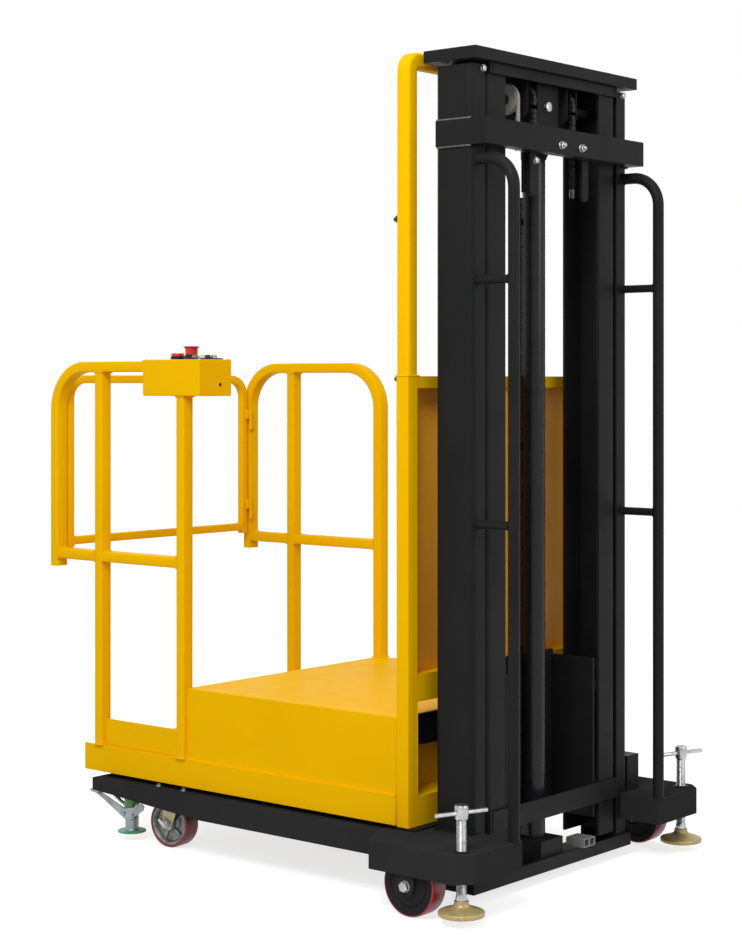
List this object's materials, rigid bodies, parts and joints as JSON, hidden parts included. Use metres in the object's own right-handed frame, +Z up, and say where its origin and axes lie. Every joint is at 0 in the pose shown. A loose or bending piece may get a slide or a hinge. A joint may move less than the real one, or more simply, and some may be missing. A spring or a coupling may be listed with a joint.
{
  "type": "order picker truck",
  "caption": "Push-along order picker truck: two-stage mast, lifting work platform with side rails and entry gate, outriggers with levelling jacks, swivel casters.",
  "frame": {"origin": "on the floor under the middle of the machine's bounding box", "axes": "+Z up, +Y from the mast towards the entry gate, +X to the right of someone facing the gate"},
  "size_m": [1.075, 1.518, 1.992],
  "materials": {
    "yellow_paint": "semi-gloss yellow powder coat",
    "black_paint": "satin black powder coat",
    "zinc_plate": "bright zinc plate",
    "yellow_zinc_plate": "yellow chromated zinc",
    "red_polyurethane": "smooth cast tread",
    "green_rubber": "matt foot pad",
    "red_plastic": "gloss mushroom head",
    "oiled_steel": "oiled leaf chain",
    "chromed_rod": "hard chrome",
    "grey_plastic": "moulded",
    "navy_plastic": "moulded case",
    "hose_rubber": "smooth grey cover"
  },
  "bodies": {
    "chassis": {"outrigger_left": "black_paint", "outrigger_right": "black_paint", "side_leg_left": "black_paint", "side_leg_right": "black_paint", "base_beam": "black_paint", "charging_plug": "grey_plastic", "outer_mast_channel_left": "black_paint", "outer_mast_channel_right": "black_paint", "mast_band": "black_paint", "valve_box": "black_paint", "handle_left": "black_paint", "handle_right": "black_paint", "cylinder_barrel": "black_paint", "floor_lock_left": "zinc_plate", "floor_lock_right": "zinc_plate"},
    "inner_mast": {"inner_mast_channel_left": "black_paint", "inner_mast_channel_right": "black_paint", "mast_cap": "black_paint", "mast_lower_tie": "black_paint", "mast_head_beam": "black_paint", "mast_crosshead": "black_paint", "hose_sheave": "grey_plastic", "lift_chain_left": "oiled_steel", "lift_chain_right": "oiled_steel", "piston_rod": "chromed_rod", "lift_hose": "hose_rubber"},
    "carriage": {"lift_bracket": "black_paint", "platform_deck": "yellow_paint", "raised_box": "yellow_paint", "toe_board_left": "yellow_paint", "toe_board_right": "yellow_paint", "power_unit": "navy_plastic", "rear_frame": "yellow_paint", "upper_guard": "yellow_paint", "side_rail_left": "yellow_paint", "side_rail_right": "yellow_paint", "control_box": "yellow_paint", "stop_button": "red_plastic"},
    "gate": {"gate": "yellow_paint"},
    "rear_wheel_left": {"rear_wheel_left": "red_polyurethane"},
    "rear_wheel_right": {"rear_wheel_right": "red_polyurethane"},
    "caster_left": {"caster_fork_left": "yellow_zinc_plate"},
    "caster_right": {"caster_fork_right": "yellow_zinc_plate"},
    "caster_wheel_left": {"caster_wheel_left": "red_polyurethane"},
    "caster_wheel_right": {"caster_wheel_right": "red_polyurethane"},
    "jack_left": {"jack_left": "zinc_plate"},
    "jack_right": {"jack_right": "zinc_plate"},
    "lock_pad_left": {"floor_lock_pad_left": "green_rubber"},
    "lock_pad_right": {"floor_lock_pad_right": "green_rubber"}
  },
  "joints": [
    {"name": "mast_lift", "type": "slide", "parent": "chassis", "child": "inner_mast", "axis": [0, 0, 1], "range_m": [0, 1.23]},
    {"name": "carriage_lift", "type": "slide", "parent": "inner_mast", "child": "carriage", "axis": [0, 0, 1], "range_m": [0, 1.23]},
    {"name": "gate_swing", "type": "hinge", "parent": "carriage", "child": "gate", "pos_m": [0.36, 0.7255, 0.758], "axis": [0, 0, 1], "range_deg": [0, 90]},
    {"name": "rear_wheel_left_spin", "type": "hinge", "parent": "chassis", "child": "rear_wheel_left", "pos_m": [-0.476, -0.577, 0.072], "axis": [1, 0, 0], "continuous": true},
    {"name": "rear_wheel_right_spin", "type": "hinge", "parent": "chassis", "child": "rear_wheel_right", "pos_m": [0.476, -0.577, 0.072], "axis": [1, 0, 0], "continuous": true},
    {"name": "caster_left_swivel", "type": "hinge", "parent": "chassis", "child": "caster_left", "pos_m": [-0.349, 0.3125, 0.14], "axis": [0, 0, 1], "continuous": true},
    {"name": "caster_right_swivel", "type": "hinge", "parent": "chassis", "child": "caster_right", "pos_m": [0.349, 0.3125, 0.14], "axis": [0, 0, 1], "continuous": true},
    {"name": "caster_left_spin", "type": "hinge", "parent": "caster_left", "child": "caster_wheel_left", "pos_m": [-0.35039, 0.32844, 0.0625], "axis": [0.9962, 0.0872, 0], "continuous": true},
    {"name": "caster_right_spin", "type": "hinge", "parent": "caster_right", "child": "caster_wheel_right", "pos_m": [0.34677, 0.32834, 0.0625], "axis": [0.9903, 0.1392, 0], "continuous": true},
    {"name": "jack_left_screw", "type": "slide", "parent": "chassis", "child": "jack_left", "axis": [0, 0, 1], "range_m": [-0.02, 0.03]},
    {"name": "jack_right_screw", "type": "slide", "parent": "chassis", "child": "jack_right", "axis": [0, 0, 1], "range_m": [-0.02, 0.03]},
    {"name": "lock_left_press", "type": "slide", "parent": "chassis", "child": "lock_pad_left", "axis": [0, 0, 1], "range_m": [-0.018, 0]},
    {"name": "lock_right_press", "type": "slide", "parent": "chassis", "child": "lock_pad_right", "axis": [0, 0, 1], "range_m": [-0.018, 0]}
  ],
  "couplings": [
    {"joint": "carriage_lift", "follows": "mast_lift", "ratio": 1}
  ]
}
